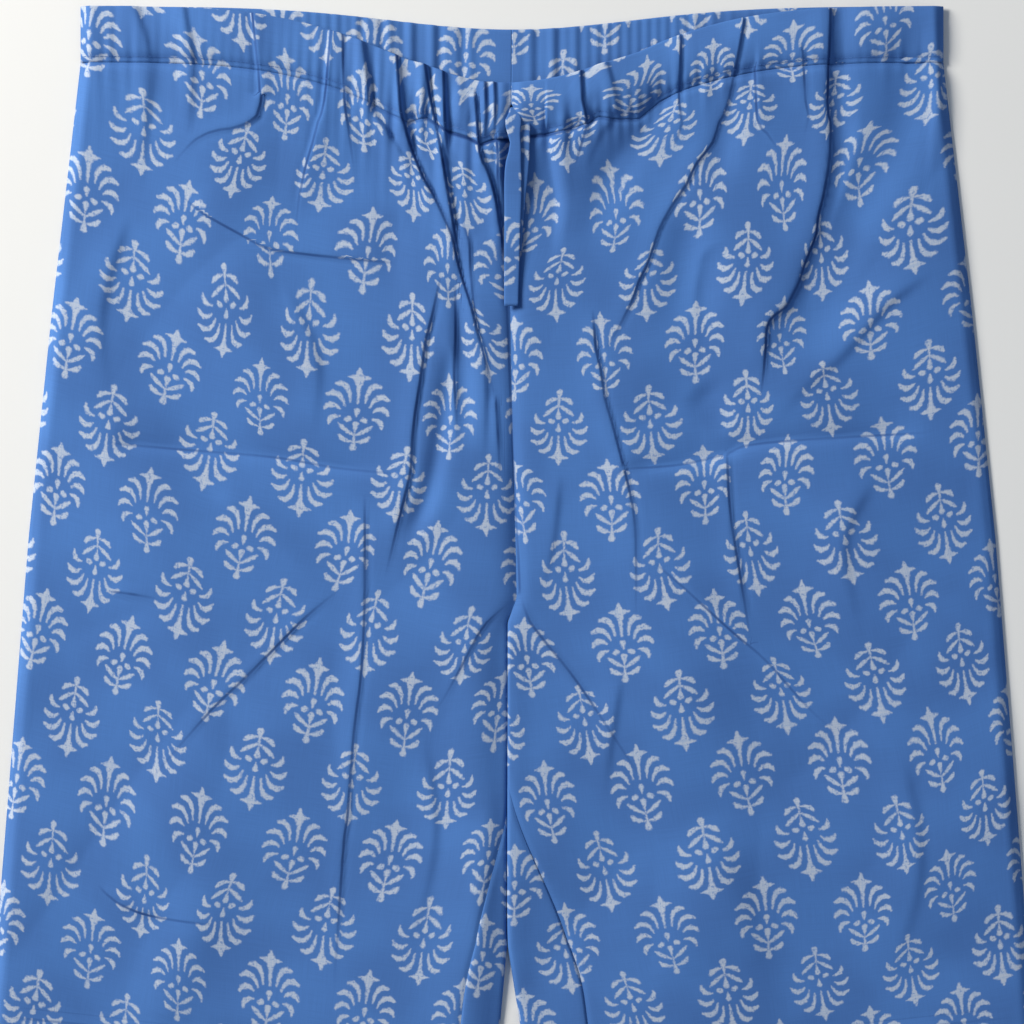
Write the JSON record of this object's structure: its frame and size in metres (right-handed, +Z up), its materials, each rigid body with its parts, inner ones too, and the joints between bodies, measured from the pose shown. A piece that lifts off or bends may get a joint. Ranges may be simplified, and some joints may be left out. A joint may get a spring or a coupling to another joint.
{
  "type": "block-print drawstring trousers",
  "caption": "wide drawstring trousers in printed cotton, laid flat with the front up: gathered casing, two flat ties, plain straight legs with turned-up hems",
  "frame": {"origin": "on the surface that the trousers lie on, under the middle of their outline", "axes": "+Y from the hems to the waist, +Z up from the surface, +X towards the wearer's left"},
  "size_m": [0.714, 1.0307, 0.0114],
  "materials": {
    "printed_cotton": "matt plain-weave cotton, blue with greyish cream block-printed sprigs",
    "tie_cotton": "the same printed cotton, folded and stitched into a flat strip"
  },
  "bodies": {
    "root": {"front_panel_right": "printed_cotton", "front_panel_left": "printed_cotton", "back_panel_right": "printed_cotton", "back_panel_left": "printed_cotton", "front_casing_right": "printed_cotton", "front_casing_left": "printed_cotton", "back_casing_right": "printed_cotton", "back_casing_left": "printed_cotton", "drawstring_front_tie": "tie_cotton", "drawstring_rear_tie": "tie_cotton"}
  },
  "joints": []
}
